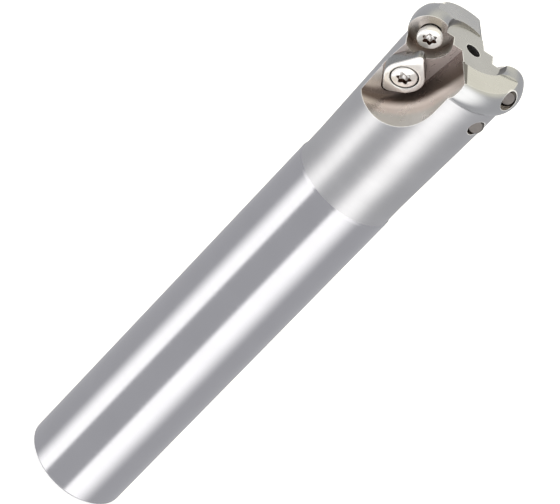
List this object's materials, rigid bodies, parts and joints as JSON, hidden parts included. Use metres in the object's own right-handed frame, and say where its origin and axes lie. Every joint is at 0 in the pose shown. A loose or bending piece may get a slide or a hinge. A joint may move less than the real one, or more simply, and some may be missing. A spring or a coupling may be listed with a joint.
{
  "type": "face mill",
  "caption": "Shank-type indexable face mill: ground cylindrical shank, conical neck, rounded head with chip flutes, round insert pockets, teardrop clamps and six-lobe screws.",
  "frame": {"origin": "centre of the shank's end face, on the tool's axis", "axes": "+Z along the tool's axis from the shank end to the cutting end; +X from the axis towards the pocket of tooth 1"},
  "size_m": [0.029, 0.029, 0.1499],
  "materials": {
    "body_steel": "ground and milled hardened steel, satin",
    "clamp_steel": "tumbled bright steel",
    "screw_steel": "polished bright steel"
  },
  "bodies": {
    "cutter": {"cutter_body": "body_steel"},
    "clamp_1": {"clamp_1": "clamp_steel"},
    "clamp_2": {"clamp_2": "clamp_steel"},
    "clamp_screw_1": {"clamp_screw_1": "screw_steel"},
    "clamp_screw_2": {"clamp_screw_2": "screw_steel"},
    "insert_screw_1": {"insert_screw_1": "screw_steel"},
    "insert_screw_2": {"insert_screw_2": "screw_steel"}
  },
  "joints": [
    {"name": "clamp_1_lift", "type": "slide", "parent": "cutter", "child": "clamp_1", "axis": [0, 0.9816, -0.1908], "range_m": [0, 0.0021]},
    {"name": "clamp_2_lift", "type": "slide", "parent": "cutter", "child": "clamp_2", "axis": [0, -0.9816, -0.1908], "range_m": [0, 0.0021]},
    {"name": "clamp_screw_1_turn", "type": "hinge", "parent": "clamp_1", "child": "clamp_screw_1", "pos_m": [0.00865, 0.00344, 0.13539], "axis": [0, 0.9816, -0.1908], "range_deg": [0, 1080]},
    {"name": "clamp_screw_2_turn", "type": "hinge", "parent": "clamp_2", "child": "clamp_screw_2", "pos_m": [-0.00865, -0.00344, 0.13539], "axis": [0, -0.9816, -0.1908], "range_deg": [0, 1080]},
    {"name": "insert_screw_1_out", "type": "slide", "parent": "cutter", "child": "insert_screw_1", "axis": [0, 0.9816, -0.1908], "range_m": [0, 0.0014]},
    {"name": "insert_screw_2_out", "type": "slide", "parent": "cutter", "child": "insert_screw_2", "axis": [0, -0.9816, -0.1908], "range_m": [0, 0.0014]}
  ],
  "couplings": [
    {"joint": "clamp_screw_1_turn", "follows": "clamp_1_lift", "rad_per_m": 8976},
    {"joint": "clamp_screw_2_turn", "follows": "clamp_2_lift", "rad_per_m": 8976}
  ]
}
